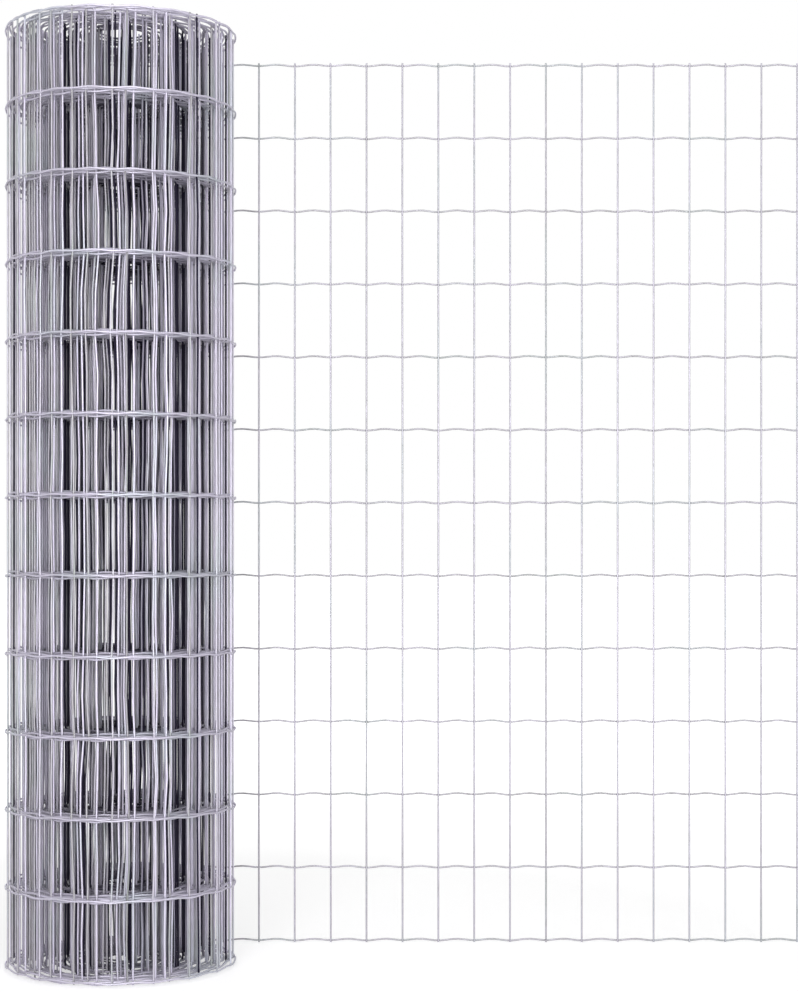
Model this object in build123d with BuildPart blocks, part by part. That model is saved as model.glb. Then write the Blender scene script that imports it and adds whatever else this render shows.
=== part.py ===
"""Roll of galvanised welded wire fencing, standing on its end with its outer end drawn out flat.

The fence is one strip of welded mesh: line wires run along it, one above the other, and stay wires
cross them, welded to their inner side. The strip is wound about +Z from the bore outwards. Its last
length leaves the roll along a tangent at the back (+Y side) and runs towards +X.
"""

import os
from math import pi, sqrt

from build123d import *

# Driving dimensions in millimetres: the mesh
wire = 2.5                # wire diameter, over the zinc
wire_sides = 4            # sides of the section that stands for the round wire
row_pitch = 101.6         # between line wires, four inches
row_count = 12            # meshes in the fence's height
stay_pitch = 50.0         # between stay wires
wire_overhang = 3.0       # every wire's end past the centre of the last wire that it crosses
crimp_height = 2.5        # a line wire's tension wave, from low point to high point
fence_length = 15000.0    # fence in one roll, as it is sold

# Driving dimensions in millimetres: the roll and its free end
roll_radius = 154.0       # over the outermost line wires
bore_radius = 22.0        # inside the innermost stay wires
free_length = 920.0       # drawn out flat, from the tangent line to the last stay wire
turn_relief = 4.0         # depth of the gaps between turns on the roll's ends
turns_per_ridge = 2       # turns that one ridge on the roll's ends stands for
parting_thickness = 0.5   # what is clear of the roll where a line wire parts from it

# Worked out from the driving dimensions
height = row_count * row_pitch + 2 * wire_overhang
line_heights = [wire_overhang + row * row_pitch for row in range(row_count + 1)]
outer_line_radius = roll_radius - wire / 2
inner_line_radius = bore_radius + wire + wire / 2
wound_length = fence_length - free_length
turn_pitch = pi * (outer_line_radius**2 - inner_line_radius**2) / wound_length
turn_count = round((roll_radius - bore_radius) / turn_pitch)
ridge_count = turn_count // turns_per_ridge


def end_profile(end_height, inward):
    """Points across one end of the roll, from the bore to the outside, along the ridges of its turns.

    The innermost and outermost ridges keep a flat land one wire wide, and the roll stands on these.
    """
    ridge_pitch = (roll_radius - bore_radius - wire) / (ridge_count - 1)
    gap_height = end_height + inward * turn_relief
    points = [(bore_radius, end_height), (bore_radius + wire, end_height)]
    for ridge in range(1, ridge_count - 1):
        ridge_radius = bore_radius + wire / 2 + ridge * ridge_pitch
        points += [(ridge_radius - ridge_pitch / 2, gap_height), (ridge_radius, end_height)]
    points += [(roll_radius - wire / 2 - ridge_pitch / 2, gap_height)]
    points += [(roll_radius - wire, end_height), (roll_radius, end_height)]
    return points


# The wound length: one turned solid with its bore, and its turns as ridges on both ends
with BuildPart() as fence_roll:
    with BuildSketch(Plane.XZ):
        with BuildLine():
            Polyline(*end_profile(0, 1), *reversed(end_profile(height, -1)), close=True)
        make_face()
    revolve(axis=Axis.Z)
fence_roll.part.label = "fence_roll"

# The way of one line wire in the drawn-out end, from its cut end back to the roll: low at every
# stay wire and high midway between two, as the crimping rollers leave it
half_cell = stay_pitch / 2
low, high = -crimp_height / 2, crimp_height / 2
cut_end = free_length + wire_overhang
parting_x = sqrt(roll_radius**2 - (roll_radius - parting_thickness) ** 2)
crimp_count = int((free_length - parting_x) / half_cell)
crimp_way = [(cut_end, low)]
for crimp in range(crimp_count + 1):
    crimp_way.append((free_length - crimp * half_cell, high if crimp % 2 else low))
last_crimp_x, last_crimp_z = crimp_way[-1]
crimp_way.append((parting_x, last_crimp_z * (1 - 2 * (last_crimp_x - parting_x) / half_cell)))

with BuildPart() as line_wire:
    with BuildLine(Plane.XZ.offset(-outer_line_radius)):
        Polyline(*crimp_way)
    with BuildSketch(Plane((cut_end, outer_line_radius, low), x_dir=(0, 1, 0), z_dir=(-1, 0, 0))):
        RegularPolygon(wire / 2, wire_sides, major_radius=False, rotation=180 / wire_sides)
    sweep(transition=Transition.RIGHT)

# The drawn-out end: stay wires flat against the inner side of the line wires and fused to them,
# back to the first one that stands clear of the roll
stay_y = outer_line_radius - wire
clear_x = sqrt(roll_radius**2 - (stay_y - wire) ** 2)
stay_count = int((free_length - clear_x) / stay_pitch) + 1
stay_places = [(free_length - stay * stay_pitch, stay_y) for stay in range(stay_count)]
with BuildPart() as unrolled_end:
    with BuildSketch(Plane.XY):
        with Locations(*stay_places):
            RegularPolygon(wire / 2, wire_sides, major_radius=False, rotation=90 - 180 / wire_sides)
    extrude(amount=height)
    with Locations(*[(0, 0, line_height) for line_height in line_heights]):
        add(line_wire.part)
    Cylinder(roll_radius, height, align=(Align.CENTER, Align.CENTER, Align.MIN), mode=Mode.SUBTRACT)
unrolled_end.part.label = "unrolled_end"

os.makedirs("parts", exist_ok=True)
export_step(fence_roll.part, "parts/fence_roll.step")
export_step(unrolled_end.part, "parts/unrolled_end.step")
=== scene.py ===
import math

import bpy
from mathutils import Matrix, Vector


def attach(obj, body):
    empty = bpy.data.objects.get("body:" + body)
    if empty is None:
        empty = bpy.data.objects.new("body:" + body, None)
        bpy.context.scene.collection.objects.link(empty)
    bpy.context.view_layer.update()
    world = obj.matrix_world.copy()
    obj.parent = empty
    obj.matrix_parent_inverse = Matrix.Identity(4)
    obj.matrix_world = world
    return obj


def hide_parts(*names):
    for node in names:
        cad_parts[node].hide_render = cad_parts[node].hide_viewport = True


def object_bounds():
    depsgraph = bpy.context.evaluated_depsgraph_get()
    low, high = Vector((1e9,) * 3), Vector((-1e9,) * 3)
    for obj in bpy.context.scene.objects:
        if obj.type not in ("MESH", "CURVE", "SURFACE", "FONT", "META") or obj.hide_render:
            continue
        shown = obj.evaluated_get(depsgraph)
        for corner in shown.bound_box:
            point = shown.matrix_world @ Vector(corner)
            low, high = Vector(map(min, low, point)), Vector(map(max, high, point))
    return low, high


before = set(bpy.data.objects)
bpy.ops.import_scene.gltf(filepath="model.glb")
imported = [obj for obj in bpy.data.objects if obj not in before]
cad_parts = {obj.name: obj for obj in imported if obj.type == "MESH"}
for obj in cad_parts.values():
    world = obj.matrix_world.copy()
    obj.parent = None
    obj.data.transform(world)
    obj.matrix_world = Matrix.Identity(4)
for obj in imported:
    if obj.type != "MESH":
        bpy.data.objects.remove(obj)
cad_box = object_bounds()

# Galvanised finish: drawn steel wire under a satin zinc skin, pale grey with a violet cast and some
# bluer patches. Wires differ a little in tone, and the zinc is cloudy with a fine grain. Wire in the
# roll gets painted shade in its colour for the shade between the turns, almost black where fullest.
ZINC_DARK = (0.36, 0.352, 0.37, 1.0)
ZINC_LIGHT = (0.71, 0.668, 0.82, 1.0)
# colour of wire under the fullest painted shade
ZINC_PAINTED_SHADE = (0.012, 0.009, 0.026, 1.0)
ZINC_BLUER = (0.93, 1.0, 0.945, 1.0)
ZINC_METALLIC = 0.35
ZINC_SPECULAR = 0.15
CLOUDS_PER_METRE = 60.0
CLOUD_SHARE = 0.4         # of the shade, from the clouds
TONE_SHARE = 0.6          # of the shade, from the wire's own tone
DARK_UP_TO = 0.2          # shade up to which the zinc is at its darkest
LIGHT_FROM = 0.8          # shade from which it is at its lightest
PATCHES_PER_METRE = 11.0
PATCH_FROM = 0.52         # level of the noise at which a bluer patch starts
PATCH_EDGE = 8.0          # how sharply it starts
GRAINS_PER_METRE = 900.0
GRAIN_DEPTH = 0.0003
GRAIN_STRENGTH = 0.25
GRAIN_ROUGHNESS = 0.25    # added where the grain is strongest
LEAST_ROUGHNESS = 0.27
MIX_UNDER, MIX_OVER, MIX_RESULT = 6, 7, 2    # the colour sockets of a Mix node


class Measure:
    """A number inside a node tree, so that a rule for the wire reads as it would on paper."""

    def __init__(self, tree, socket):
        self.tree = tree
        self.socket = socket

    def work(self, operation, *others):
        node = self.tree.nodes.new("ShaderNodeMath")
        node.operation = operation
        for socket, value in zip(node.inputs, (self, *others)):
            feed(self.tree, socket, value)
        return Measure(self.tree, node.outputs[0])

    def between(self, least, most):
        return self.work("MINIMUM", most).work("MAXIMUM", least)

    def __add__(self, other):
        return self.work("ADD", other)

    def __sub__(self, other):
        return self.work("SUBTRACT", other)

    def __mul__(self, other):
        return self.work("MULTIPLY", other)

    def __truediv__(self, other):
        return self.work("DIVIDE", other)


def feed(tree, socket, value):
    """Links a socket to another one, or sets it to a plain value."""
    if isinstance(value, Measure):
        value = value.socket
    if isinstance(value, bpy.types.NodeSocket):
        tree.links.new(value, socket)
    else:
        socket.default_value = value


def place(tree, kind, inputs=None, **settings):
    """Adds one node to a tree, with its settings and what feeds its inputs, and gives it back."""
    node = tree.nodes.new(kind)
    for name, value in settings.items():
        setattr(node, name, value)
    for name, value in (inputs or {}).items():
        feed(tree, node.inputs[name], value)
    return node


galvanised = bpy.data.materials.new("galvanised_wire")
galvanised.use_nodes = True
zinc = galvanised.node_tree
skin = zinc.nodes["Principled BSDF"]
on_wire = place(zinc, "ShaderNodeTexCoord").outputs["Object"]


def mottling(per_metre, detail):
    """Soft random blotches on the zinc, from 0 to 1."""
    noise = place(zinc, "ShaderNodeTexNoise", {"Vector": on_wire, "Scale": per_metre, "Detail": detail})
    return Measure(zinc, noise.outputs["Fac"])


def kept_on_wire(name):
    """A value that the wire's points keep under a name."""
    return Measure(zinc, place(zinc, "ShaderNodeAttribute", attribute_name=name).outputs["Fac"])


def laid_over(under, over, amount, blend="MIX"):
    """Lays one colour of the zinc over another."""
    mix = place(zinc, "ShaderNodeMix", {"Factor": amount, MIX_UNDER: under, MIX_OVER: over},
                data_type="RGBA", blend_type=blend)
    return mix.outputs[MIX_RESULT]


cloud = mottling(CLOUDS_PER_METRE, detail=3.0)
grain = mottling(GRAINS_PER_METRE, detail=2.0)
patch = mottling(PATCHES_PER_METRE, detail=1.0)
tone = kept_on_wire("wire_tone")
shade = place(zinc, "ShaderNodeValToRGB", {"Fac": cloud * CLOUD_SHARE + tone * TONE_SHARE})
dark_end, light_end = shade.color_ramp.elements
dark_end.position = DARK_UP_TO
dark_end.color = ZINC_DARK
light_end.position = LIGHT_FROM
light_end.color = ZINC_LIGHT
in_patch = ((patch - PATCH_FROM) * PATCH_EDGE).between(0.0, 1.0)
patched = laid_over(shade.outputs["Color"], ZINC_BLUER, in_patch, "MULTIPLY")
# Painted shade: the wire's colour goes towards near black by the painted shade that it keeps.
feed(zinc, skin.inputs["Base Color"], laid_over(patched, ZINC_PAINTED_SHADE, kept_on_wire("dulled")))
feed(zinc, skin.inputs["Roughness"], grain * GRAIN_ROUGHNESS + LEAST_ROUGHNESS)
bump = place(zinc, "ShaderNodeBump", {"Height": grain, "Strength": GRAIN_STRENGTH, "Distance": GRAIN_DEPTH})
feed(zinc, skin.inputs["Normal"], bump.outputs["Normal"])
skin.inputs["Metallic"].default_value = ZINC_METALLIC
skin.inputs["Specular IOR Level"].default_value = ZINC_SPECULAR

# Line wires: thirteen horizontal steel wires run the whole length of the fence, one above the other.
# Rollers crimp them into a low wave that takes up slack. The fence is then wound up with its stay
# wires on the inside, and its last length is drawn out along a tangent at the back of the roll.
WIRE = 0.0025
ROWS = 13
ROW_PITCH = 0.1016
STAY_PITCH = 0.05
OVERHANG = 0.003          # every wire's end past the last wire that it crosses
CRIMP = 0.0022            # the wave, from low point to high point
BORE_RADIUS = 0.022
ROLL_RADIUS = cad_box[1][1]
FREE_LENGTH = cad_box[1][0] - OVERHANG
FENCE_LENGTH = 15.0
FENCE_HEIGHT = (ROWS - 1) * ROW_PITCH + 2 * OVERHANG
OUTER_RADIUS = ROLL_RADIUS - WIRE / 2
INNER_RADIUS = BORE_RADIUS + WIRE * 1.5
TURN_PITCH = math.pi * (OUTER_RADIUS**2 - INNER_RADIUS**2) / (FENCE_LENGTH - FREE_LENGTH)
TURN_SLIP = 0.008         # the most that a turn climbs
TURN_SWAY = 0.012         # sideways room of a bundle of turns
UNEVENNESS = 0.0006       # added to the wave, more or less
UNEVEN_ROW_STEP = 7.0     # sets the rows' unevenness apart
POINTS_PER_CELL = 6
WIRE_SIDES = 8
SHARP_BEND = 1.2          # angle past which an edge is sharp, as at a cut end
FREE_TONE = 0.16          # drawn-out wire, on the scale from dark to light zinc
ROLLED_TONE = 0.5         # added to that inside the roll
ROLLED_TONE_PER_METRE = 6.0
ROW_TONE_REACH = 0.06     # how far the rows differ
ROW_TONE_STEP = 2.3


def new_tree(name, sizes, results=None):
    """Starts a node tree with a named input for each size, and gives the tree, its inputs and its end."""
    tree = bpy.data.node_groups.new(name, "GeometryNodeTree")
    for label in sizes:
        tree.interface.new_socket(label, in_out="INPUT", socket_type="NodeSocketFloat")
    for label, kind in (results or {"Geometry": "NodeSocketGeometry"}).items():
        tree.interface.new_socket(label, in_out="OUTPUT", socket_type=kind)
    start = tree.nodes.new("NodeGroupInput")
    measures = {label: Measure(tree, start.outputs[label]) for label in sizes}
    return tree, measures, tree.nodes.new("NodeGroupOutput")


def waver(tree, along, wavelength, seed):
    """Smooth random wandering between about -0.5 and 0.5 along the fence."""
    noise = place(tree, "ShaderNodeTexNoise", {"W": along / wavelength + seed, "Scale": 1.0, "Detail": 1.0},
                  noise_dimensions="1D")
    return Measure(tree, noise.outputs["Fac"]) - 0.5


def slow_wave(along, wavelength, reach, phase):
    """Even swing by the reach to either side along the fence."""
    return (along * (math.tau / wavelength) + phase).work("SINE") * reach


# The winding: the place of any point of the fence from how far along it is, how high, and how far
# inside the line wires. Along is 0 at the tangent line, more on the free end and less in the roll.
# Turns drift round a little, slip up on each other and sway together where they lie in one bundle.
WINDING_SIZES = ["Outer radius", "Turn pitch", "Fence height", "Slip", "Sway"]
SETTLED_PER_METRE = 2.5   # how soon a turn is free to drift after the tangent line
SLIP_CONTRAST = 2.2
BUNDLES_ACROSS = 2.2      # along the roll's radius
BUNDLE_BENDS_PER_METRE = 9.0
BUNDLE_SEED = 4.1
SHADE_FULLEST_TURNS = 22.0       # turns in from the outside at which the painted shade is fullest
OUTERMOST_SHADE = 0.8    # turns' worth of painted shade that the outermost turn already has
SHADE_FADE_LENGTH = 0.12       # of each end of the roll, over which the painted shade grows lighter towards the end
SHADE_LEFT_AT_ENDS = 0.65        # of the painted shade that is left at the very end
winding, size, end = new_tree(
    "winding", ["Along", "Height", "Inset", *WINDING_SIZES],
    {"Position": "NodeSocketVector", "Outward": "NodeSocketVector", "Painted shade": "NodeSocketFloat"})
wound = size["Along"].work("MINIMUM", 0.0)
drawn_out = size["Along"].work("MAXIMUM", 0.0)
settled = (wound * -SETTLED_PER_METRE).work("MINIMUM", 1.0)
radius = (size["Outer radius"] * size["Outer radius"] + wound * size["Turn pitch"] / math.pi).work("SQRT")
reach = radius - size["Inset"]
turns_in = (size["Outer radius"] - radius) / size["Turn pitch"]
drift = (slow_wave(size["Along"], wavelength=0.737, reach=0.006, phase=1.3)
         + slow_wave(size["Along"], wavelength=2.37, reach=0.005, phase=2.1)
         + slow_wave(size["Along"], wavelength=1.32, reach=0.0025, phase=4.2))
turned = turns_in * math.tau + math.pi / 2 + drift * settled / radius
cosine = turned.work("COSINE")
sine = turned.work("SINE")
climb = waver(winding, size["Along"], wavelength=0.55, seed=3.7) * SLIP_CONTRAST + 0.5
slip = climb.between(0.0, 1.0) * size["Slip"] * settled
bundle_at = place(winding, "ShaderNodeCombineXYZ", {"X": cosine * BUNDLES_ACROSS, "Y": BUNDLE_SEED,
                                                    "Z": size["Height"] * BUNDLE_BENDS_PER_METRE})
bundle = place(winding, "ShaderNodeTexNoise",
               {"Vector": bundle_at.outputs["Vector"], "Scale": 1.0, "Detail": 1.0})
sway = (Measure(winding, bundle.outputs["Fac"]) - 0.5) * size["Sway"] * settled * sine * sine
position = place(winding, "ShaderNodeCombineXYZ",
                 {"X": reach * cosine + sway + drawn_out, "Y": reach * sine, "Z": size["Height"] + slip})
outward = place(winding, "ShaderNodeCombineXYZ", {"X": cosine, "Y": sine})
middle = size["Fence height"] * 0.5
from_end = middle - (size["Height"] - middle).work("ABSOLUTE")
# Painted shade for the shade inside the roll: more the further in a turn lies, lighter over the roll's top
# and bottom ends.
shade_by_depth = ((turns_in + OUTERMOST_SHADE) / SHADE_FULLEST_TURNS).between(0.0, 1.0)
feed(winding, end.inputs["Position"], position.outputs["Vector"])
feed(winding, end.inputs["Outward"], outward.outputs["Vector"])
feed(winding, end.inputs["Painted shade"], shade_by_depth * (from_end / SHADE_FADE_LENGTH).between(SHADE_LEFT_AT_ENDS, 1.0))


def use_rule(tree, rule, inputs):
    """Puts one of the shared rules into a tree, and gives what it works out."""
    node = tree.nodes.new("GeometryNodeGroup")
    node.node_tree = rule
    for name, value in inputs.items():
        feed(tree, node.inputs[name], value)
    return {socket.name: Measure(tree, socket) for socket in node.outputs}


def wind(tree, size, along, height, inset):
    """The place of one point of the fence, which way is out of the roll there, and how much painted shade
    it gets.
    """
    shared = {name: size[name] for name in WINDING_SIZES}
    return use_rule(tree, winding, {"Along": along, "Height": height, "Inset": inset, **shared})


# The crimp: low at each stay wire and high midway between two, with every second dip the deeper.
# Winding the fence up draws the wave a little flatter.
CRIMP_SIZES = ["Stay pitch", "First stay", "Crimp"]
SECOND_DIP = 0.12         # of the crimp
ROLLED_CRIMP = 0.8        # share of the wave that is left in the roll
TANGENT_CRIMP = 0.9       # and at the tangent line
CRIMP_GAIN_PER_METRE = 3.0
crimping, size, end = new_tree("crimping", ["Along", *CRIMP_SIZES], {"Lift": "NodeSocketFloat"})
cells = (size["Along"] - size["First stay"]) / size["Stay pitch"]
main_wave = (cells * math.tau).work("COSINE") * -0.5
second_wave = (cells * math.pi).work("COSINE") * -SECOND_DIP
left_by_winding = (size["Along"] * CRIMP_GAIN_PER_METRE + TANGENT_CRIMP).between(ROLLED_CRIMP, 1.0)
feed(crimping, end.inputs["Lift"], (main_wave + second_wave) * size["Crimp"] * left_by_winding)


def crimp(tree, size, along):
    """How far a line wire is bent up or down at a place along the fence."""
    shared = {name: size[name] for name in CRIMP_SIZES}
    return use_rule(tree, crimping, {"Along": along, **shared})["Lift"]


def keep(tree, geometry, **values):
    """Keeps values on the wire's points under the names that the zinc reads."""
    for name, value in values.items():
        node = place(tree, "GeometryNodeStoreNamedAttribute",
                     {"Geometry": geometry, "Name": name, "Value": value}, domain="POINT")
        geometry = node.outputs["Geometry"]
    return geometry


def finish_wire(tree, curve, wire, end):
    """Draws the curve out into round wire with closed ends, smooth along its length, in zinc."""
    section = place(tree, "GeometryNodeCurvePrimitiveCircle",
                    {"Resolution": WIRE_SIDES, "Radius": wire * 0.5})
    tube = place(tree, "GeometryNodeCurveToMesh",
                 {"Curve": curve, "Profile Curve": section.outputs["Curve"], "Fill Caps": True})
    bend = Measure(tree, place(tree, "GeometryNodeInputMeshEdgeAngle").outputs["Unsigned Angle"])
    sharp = place(tree, "GeometryNodeSetShadeSmooth",
                  {"Geometry": tube.outputs["Mesh"], "Selection": bend.work("GREATER_THAN", SHARP_BEND),
                   "Shade Smooth": False}, domain="EDGE")
    finish_piece(tree, sharp.outputs["Geometry"], end)


def finish_piece(tree, geometry, end):
    """Ends a tree with one whole mesh in zinc."""
    whole = place(tree, "GeometryNodeRealizeInstances", {"Geometry": geometry})
    zinced = place(tree, "GeometryNodeSetMaterial",
                   {"Geometry": whole.outputs["Geometry"], "Material": galvanised})
    feed(tree, end.inputs["Geometry"], zinced.outputs["Geometry"])


def make_piece(name, tree, sizes):
    """Runs a tree on its sizes, keeps the plain mesh, and puts the piece in the frame."""
    piece = bpy.data.objects.new(name, bpy.data.meshes.new(name))
    bpy.context.scene.collection.objects.link(piece)
    rule = piece.modifiers.new("made by rule", "NODES")
    rule.node_group = tree
    for item in tree.interface.items_tree:
        if item.in_out == "INPUT":
            rule[item.identifier] = float(sizes[item.name])
    evaluated = piece.evaluated_get(bpy.context.evaluated_depsgraph_get())
    mesh = bpy.data.meshes.new_from_object(evaluated)
    piece.modifiers.remove(rule)
    piece.data = mesh
    mesh.name = name
    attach(piece, "root")
    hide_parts("fence_roll", "unrolled_end")


line_tree, size, end = new_tree(
    "line_wire", ["Row height", "Wire", "Fence start", "Fence end", "Points", "Tone",
                  *CRIMP_SIZES, *WINDING_SIZES])
bare_line = place(line_tree, "GeometryNodeCurvePrimitiveLine")
points = place(line_tree, "GeometryNodeResampleCurve",
               {"Curve": bare_line.outputs["Curve"], "Count": size["Points"]})
index = Measure(line_tree, place(line_tree, "GeometryNodeInputIndex").outputs["Index"])
along = size["Fence start"] + (size["Fence end"] - size["Fence start"]) * index / (size["Points"] - 1.0)
uneven = waver(line_tree, along + size["Row height"] * UNEVEN_ROW_STEP, wavelength=0.12, seed=1.3) + 0.5
height = size["Row height"] + crimp(line_tree, size, along) + uneven * UNEVENNESS
spot = wind(line_tree, size, along, height, 0.0)
rolled = (along * -ROLLED_TONE_PER_METRE).between(0.0, 1.0)
# The line wires keep the painted shade that the winding gives them.
toned = keep(line_tree, points.outputs["Curve"],
             wire_tone=size["Tone"] + rolled * ROLLED_TONE, dulled=spot["Painted shade"])
wound_line = place(line_tree, "GeometryNodeSetPosition", {"Geometry": toned, "Position": spot["Position"]})
upright = place(line_tree, "GeometryNodeSetCurveNormal",
                {"Curve": wound_line.outputs["Geometry"]}, mode="Z_UP")
finish_wire(line_tree, upright.outputs["Curve"], size["Wire"], end)

fence = {
    "Wire": WIRE, "Stay pitch": STAY_PITCH, "First stay": FREE_LENGTH, "Crimp": CRIMP,
    "Outer radius": OUTER_RADIUS, "Turn pitch": TURN_PITCH, "Fence height": FENCE_HEIGHT,
    "Slip": TURN_SLIP, "Sway": TURN_SWAY,
}
line_sizes = {
    **fence, "Fence start": FREE_LENGTH - FENCE_LENGTH, "Fence end": FREE_LENGTH + OVERHANG,
    "Points": round(FENCE_LENGTH / STAY_PITCH) * POINTS_PER_CELL + 1,
}
for row in range(ROWS):
    line_sizes["Row height"] = OVERHANG + row * ROW_PITCH
    line_sizes["Tone"] = FREE_TONE + ROW_TONE_REACH * math.sin(ROW_TONE_STEP * row)
    make_piece(f"line_wire_{row + 1:02d}", line_tree, line_sizes)

# Stay wires: an upright steel wire every 50 mm, cut to the fence's height and welded to the inner side
# of the line wires. Winding leans and bows each one a little in its own way. Painted shade darkens the
# wires in the roll, with some left out of it at random, and the drawn-out ones are all of nearly one tone.
STAYS = round(FENCE_LENGTH / STAY_PITCH)
STAY_POINTS = 25
STAY_CLEARANCE = 0.0002   # each end is cut short by this
STAY_LEAN = 0.004         # sideways room of a stay wire
LEAN_TO_BOW = 1.6         # how much of that goes into leaning, for each part that goes into bowing
BOW_STEP_PER_STAY = 3.7   # sets neighbouring wires apart
BOWS_PER_METRE = 4.0
FREE_LEAN_SHARE = 0.12    # of the lean, on the free end
TANGENT_SHARE = 0.3       # of the lean and of the spread in tone, at the tangent line
LEAN_PER_METRE = 4.0
STAY_TONE = 0.22          # on the scale from dark to light zinc
STAY_TONE_SHIFT = 0.2     # lot at which a wire has just that tone
FREE_TONE_SHARE = 0.25    # of the spread in tone, on the free end
LEAN_SEED, TONE_SEED, UNSHADED_SEED = 5, 11, 4
DEPTH_SHADE_SHARE = 0.3          # of the painted shade on a stay, from how far in the turn is
INNER_SHADE_SHARE = 0.28       # of the painted shade, for any wire further in than the outermost turn
UNSHADED_SHARE = 0.9        # taken off the painted shade again for a wire that is fully left out of it
SHADE_CONTRAST = 6.0
INNER_SHADE_FROM = 0.95        # wound length of the outermost turn, past which a stay gets more painted shade


def own_lot(tree, number, seed):
    """A random number from 0 to 1 that each wire draws for itself."""
    lot = place(tree, "FunctionNodeRandomValue", data_type="FLOAT")
    feed(tree, lot.inputs["ID"], number)
    feed(tree, lot.inputs["Seed"], seed)
    return Measure(tree, next(socket for socket in lot.outputs if socket.enabled))


LEANING_SIZES = ["Fence height", "Lean"]
leaning, size, end = new_tree("leaning", ["Stay", "Height", "Along", *LEANING_SIZES],
                              {"Shift": "NodeSocketFloat"})
from_middle = size["Height"] / size["Fence height"] - 0.5
lean = (own_lot(leaning, size["Stay"], LEAN_SEED) - 0.5) * from_middle * LEAN_TO_BOW
bow_at = place(leaning, "ShaderNodeCombineXYZ", {"X": size["Stay"] * BOW_STEP_PER_STAY,
                                                 "Y": size["Height"] * BOWS_PER_METRE})
bowed = place(leaning, "ShaderNodeTexNoise",
              {"Vector": bow_at.outputs["Vector"], "Scale": 1.0, "Detail": 1.0}, noise_dimensions="2D")
bow = Measure(leaning, bowed.outputs["Fac"]) - 0.5
in_roll = (size["Along"] * -LEAN_PER_METRE + TANGENT_SHARE).between(FREE_LEAN_SHARE, 1.0)
feed(leaning, end.inputs["Shift"], (lean + bow) * size["Lean"] * in_roll)


def lean_along(tree, size, number, height, along):
    """The place along the fence of a point on a stay wire, with the wire's own lean."""
    shared = {name: size[name] for name in LEANING_SIZES}
    leant = use_rule(tree, leaning, {"Stay": number, "Height": height, "Along": along, **shared})
    return along + leant["Shift"]


stay_tree, size, end = new_tree(
    "stay_wires", ["Wire", "Stay pitch", "First stay", "Stays", "Points", "Lean", *WINDING_SIZES])
bare_line = place(stay_tree, "GeometryNodeCurvePrimitiveLine")
bare_stay = place(stay_tree, "GeometryNodeResampleCurve",
                  {"Curve": bare_line.outputs["Curve"], "Count": size["Points"]})
stands = place(stay_tree, "GeometryNodePoints", {"Count": size["Stays"]})
stood = place(stay_tree, "GeometryNodeInstanceOnPoints",
              {"Points": stands.outputs["Points"], "Instance": bare_stay.outputs["Curve"]})
plain = place(stay_tree, "GeometryNodeRealizeInstances", {"Geometry": stood.outputs["Instances"]})
counted = place(stay_tree, "GeometryNodeCurveOfPoint")
number = Measure(stay_tree, counted.outputs["Curve Index"])
up = Measure(stay_tree, counted.outputs["Index in Curve"]) / (size["Points"] - 1.0)
height = up * (size["Fence height"] - 2 * STAY_CLEARANCE) + STAY_CLEARANCE
along = size["First stay"] - number * size["Stay pitch"]
spot = wind(stay_tree, size, lean_along(stay_tree, size, number, height, along), height, size["Wire"])
rolled = (along * -ROLLED_TONE_PER_METRE + TANGENT_SHARE).between(FREE_TONE_SHARE, 1.0)
own_tone = (own_lot(stay_tree, number, TONE_SEED) - STAY_TONE_SHIFT) * rolled + STAY_TONE
# Painted shade on the stays: more the further in they lie and past the outermost turn, less for wires left
# out of it at random.
past_outer_turn = ((along + INNER_SHADE_FROM) * -SETTLED_PER_METRE).between(0.0, 1.0)
left_unshaded = own_lot(stay_tree, number, UNSHADED_SEED) * UNSHADED_SHARE
dulled = (spot["Painted shade"] * DEPTH_SHADE_SHARE + past_outer_turn * INNER_SHADE_SHARE - left_unshaded) * SHADE_CONTRAST
toned = keep(stay_tree, plain.outputs["Geometry"], wire_tone=own_tone, dulled=dulled.between(0.0, 1.0))
set_stays = place(stay_tree, "GeometryNodeSetPosition", {"Geometry": toned, "Position": spot["Position"]})
finish_wire(stay_tree, set_stays.outputs["Geometry"], size["Wire"], end)
fence |= {"Stays": STAYS, "Lean": STAY_LEAN}
make_piece("stay_wires", stay_tree, {**fence, "Points": STAY_POINTS})

# Welds: where a stay wire crosses a line wire, the two are pressed together and welded.
# Each weld is a small flat nugget of steel under zinc, squeezed out between the wires.
WELD_TONE = 0.5
NUGGET_BREADTH = 0.6
NUGGET_THICKNESS = 0.45
weld_tree, size, end = new_tree(
    "welds", ["Wire", "Stays", "Rows", "Row pitch", "Overhang", "Lean", *CRIMP_SIZES, *WINDING_SIZES])
crossings = place(weld_tree, "GeometryNodePoints", {"Count": size["Stays"] * size["Rows"]})
index = Measure(weld_tree, place(weld_tree, "GeometryNodeInputIndex").outputs["Index"])
number = (index / size["Rows"]).work("FLOOR")
height = (index - number * size["Rows"]) * size["Row pitch"] + size["Overhang"]
along = lean_along(weld_tree, size, number, height, size["First stay"] - number * size["Stay pitch"])
spot = wind(weld_tree, size, along, height + crimp(weld_tree, size, along), size["Wire"] * 0.5)
# Each weld keeps the painted shade of the wires at its place.
toned = keep(weld_tree, crossings.outputs["Points"], wire_tone=WELD_TONE, dulled=spot["Painted shade"])
set_welds = place(weld_tree, "GeometryNodeSetPosition", {"Geometry": toned, "Position": spot["Position"]})
nugget = place(weld_tree, "GeometryNodeMeshIcoSphere", {"Radius": size["Wire"], "Subdivisions": 1})
facing = place(weld_tree, "FunctionNodeAlignRotationToVector", {"Vector": spot["Outward"]}, axis="Y")
squeezed = place(weld_tree, "ShaderNodeCombineXYZ",
                 {"X": NUGGET_BREADTH, "Y": NUGGET_THICKNESS, "Z": NUGGET_BREADTH})
nuggets = place(weld_tree, "GeometryNodeInstanceOnPoints",
                {"Points": set_welds.outputs["Geometry"], "Instance": nugget.outputs["Mesh"],
                 "Rotation": facing.outputs["Rotation"], "Scale": squeezed.outputs["Vector"]})
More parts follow.
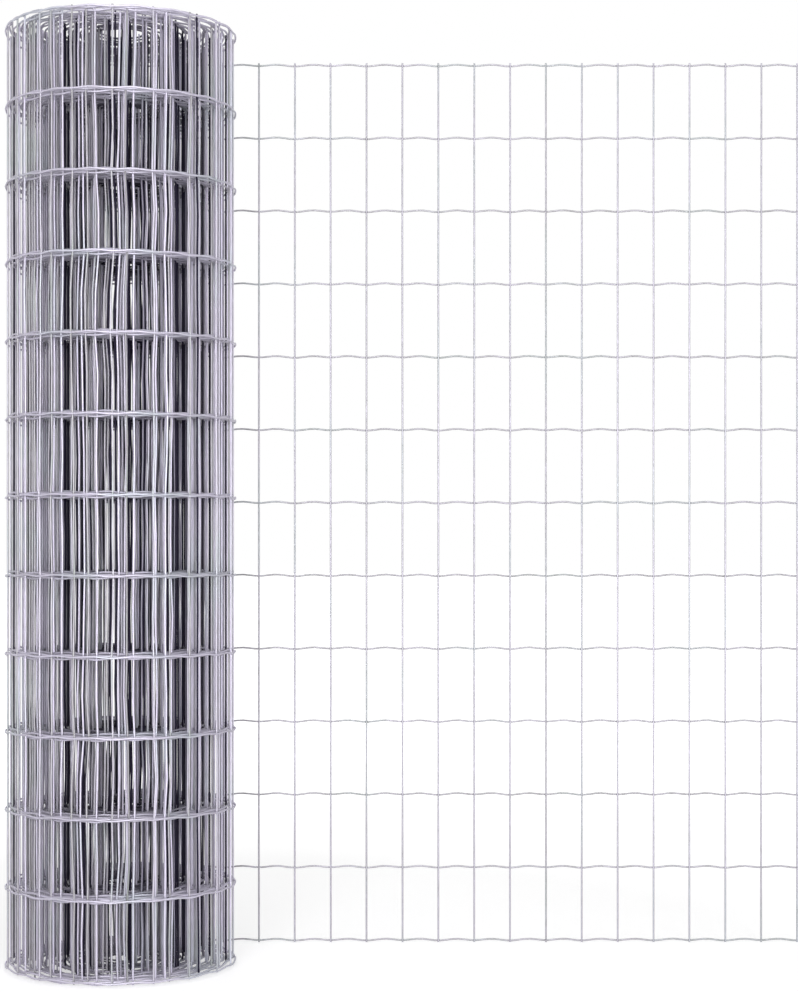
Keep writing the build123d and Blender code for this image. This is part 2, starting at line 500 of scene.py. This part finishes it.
finish_piece(weld_tree, nuggets.outputs["Instances"], end)
make_piece("welds", weld_tree, {**fence, "Rows": ROWS, "Row pitch": ROW_PITCH, "Overhang": OVERHANG})

# Floor and surround: a pale matt floor that runs out into plain white, with white all round it. The
# floor glows only as seen, and a little less by the object, so that the shadow there still shows.
HALF_FLOOR = 40.0
FLOOR_PALE = (0.75, 0.75, 0.75, 1.0)
GLOW_NEAR = 0.55
GLOW_FAR = 1.0
NEAR_DISTANCE = 0.9
FAR_DISTANCE = 2.6
WHITE = (1.0, 1.0, 1.0, 1.0)
SURROUND_LIGHT = 0.25
floor_mesh = bpy.data.meshes.new("floor")
floor_mesh.from_pydata([(-HALF_FLOOR, -HALF_FLOOR, 0), (HALF_FLOOR, -HALF_FLOOR, 0),
                        (HALF_FLOOR, HALF_FLOOR, 0), (-HALF_FLOOR, HALF_FLOOR, 0)], [], [(0, 1, 2, 3)])
floor = bpy.data.objects.new("floor", floor_mesh)
bpy.context.scene.collection.objects.link(floor)
pale = bpy.data.materials.new("pale_floor")
pale.use_nodes = True
floor_mesh.materials.append(pale)
paint = pale.node_tree
paint.nodes.clear()


def seen_directly(tree):
    """1 for what the camera sees, straight or in metal, and 0 for what only lights the object."""
    path = place(tree, "ShaderNodeLightPath")
    rays = Measure(tree, path.outputs["Is Camera Ray"]) + path.outputs["Is Glossy Ray"]
    return (rays + path.outputs["Is Transmission Ray"]).work("MINIMUM", 1.0)


on_floor = place(paint, "ShaderNodeTexCoord").outputs["Object"]
distance = place(paint, "ShaderNodeVectorMath", {0: on_floor}, operation="LENGTH").outputs["Value"]
run_out = place(paint, "ShaderNodeMapRange",
                {"Value": distance, "From Min": NEAR_DISTANCE, "From Max": FAR_DISTANCE,
                 "To Min": GLOW_NEAR, "To Max": GLOW_FAR})
lit = place(paint, "ShaderNodeBsdfDiffuse", {"Color": FLOOR_PALE})
glow = place(paint, "ShaderNodeEmission", {"Strength": seen_directly(paint) * run_out.outputs["Result"]})
both = place(paint, "ShaderNodeAddShader", {0: lit.outputs["BSDF"], 1: glow.outputs["Emission"]})
place(paint, "ShaderNodeOutputMaterial", {"Surface": both.outputs["Shader"]})

surround = bpy.data.worlds.new("white_surround")
bpy.context.scene.world = surround
surround.use_nodes = True
sky = surround.node_tree
background = sky.nodes["Background"]
background.inputs["Color"].default_value = WHITE
feed(sky, background.inputs["Strength"], seen_directly(sky) * (1.0 - SURROUND_LIGHT) + SURROUND_LIGHT)

# Lamps: two tall soft boxes in front, one to each side of the camera, and two weaker ones, overhead
# and behind. All four face a point beside the roll's axis, about half way up.
LAMP_AIM = Vector((0.2, 0.0, 0.6))


def hang_lamp(name, spot, energy, breadth, height):
    """Hangs one soft box, facing the fence."""
    lamp_data = bpy.data.lights.new(name, "AREA")
    lamp_data.shape = "RECTANGLE"
    lamp_data.size = breadth
    lamp_data.size_y = height
    lamp_data.energy = energy
    lamp = bpy.data.objects.new(name, lamp_data)
    lamp.location = spot
    lamp.rotation_euler = (LAMP_AIM - Vector(spot)).to_track_quat("-Z", "Y").to_euler()
    bpy.context.scene.collection.objects.link(lamp)


hang_lamp("left_lamp", (-0.35, -3.1, 0.8), energy=48.0, breadth=0.9, height=1.5)
hang_lamp("right_lamp", (1.15, -3.1, 0.8), energy=45.0, breadth=0.9, height=1.5)
hang_lamp("top_lamp", (0.3, -0.9, 3.4), energy=20.0, breadth=1.8, height=1.8)
hang_lamp("back_lamp", (-0.9, 3.0, 2.2), energy=26.0, breadth=1.8, height=1.8)

# Camera: level, a little below the fence's middle, with its picture shifted up to take in both ends.
CAMERA_PLACE = (0.3652, -2.6764, 0.5508)
CAMERA_LENS = 73.6
CAMERA_SHIFT_UP = 0.0514
camera_data = bpy.data.cameras.new("camera")
camera_data.lens = CAMERA_LENS
camera_data.shift_y = CAMERA_SHIFT_UP
camera = bpy.data.objects.new("camera", camera_data)
camera.location = CAMERA_PLACE
camera.rotation_euler = (math.radians(90), 0.0, 0.0)
bpy.context.scene.collection.objects.link(camera)
bpy.context.scene.camera = camera
bpy.context.scene.view_settings.view_transform = "Standard"
